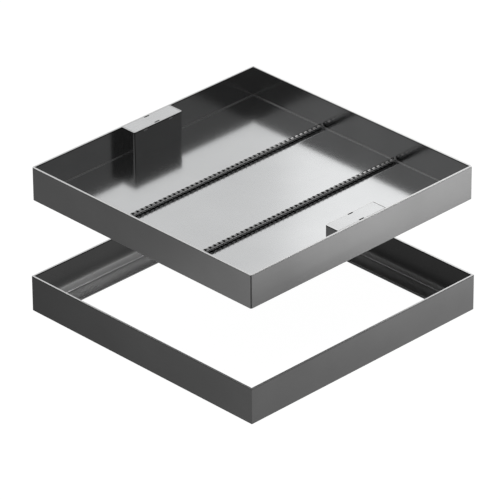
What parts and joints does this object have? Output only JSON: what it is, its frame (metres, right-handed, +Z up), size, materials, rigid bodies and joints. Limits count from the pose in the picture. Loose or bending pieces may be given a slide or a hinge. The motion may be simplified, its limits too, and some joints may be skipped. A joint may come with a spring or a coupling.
{
  "type": "septic tank cover",
  "caption": "Square recessed stainless cover: an open tray with ribbed bars and lidded key boxes, held above the angle frame that it drops into.",
  "frame": {"origin": "middle of the frame's underside, which stands on the ground", "axes": "+Z up, +X along the reinforcing bars, +Y from the front key box to the rear one; the tray is stored lifted 242 mm straight up from its seat in the frame"},
  "size_m": [0.61, 0.61, 0.318],
  "materials": {
    "frame_steel": "mill finish stainless sheet, fine grain along each side",
    "tray_steel": "mill finish stainless sheet, fine grain along each side",
    "floor_steel": "smooth, nearly mirror bright stainless sheet",
    "bar_steel": "ribbed stainless bar, dull in its roots and bright on its ribs",
    "key_box_steel": "mill finish stainless strip",
    "lid_steel": "satin stainless plate",
    "fitting_steel": "plain stainless bar and strip"
  },
  "bodies": {
    "root": {"frame_side_front_right": "frame_steel", "tray_wall_front_right": "tray_steel", "frame_side_rear_right": "frame_steel", "tray_wall_rear_right": "tray_steel", "frame_side_rear_left": "frame_steel", "tray_wall_rear_left": "tray_steel", "frame_side_front_left": "frame_steel", "tray_wall_front_left": "tray_steel", "tray_floor": "floor_steel", "reinforcing_bar_front": "bar_steel", "key_box_front": "key_box_steel", "key_box_lid_front": "lid_steel", "lifting_bar_front": "fitting_steel", "lid_rest_front_left": "fitting_steel", "lid_rest_front_right": "fitting_steel", "reinforcing_bar_rear": "bar_steel", "key_box_rear": "key_box_steel", "key_box_lid_rear": "lid_steel", "lifting_bar_rear": "fitting_steel", "lid_rest_rear_left": "fitting_steel", "lid_rest_rear_right": "fitting_steel"}
  },
  "joints": []
}
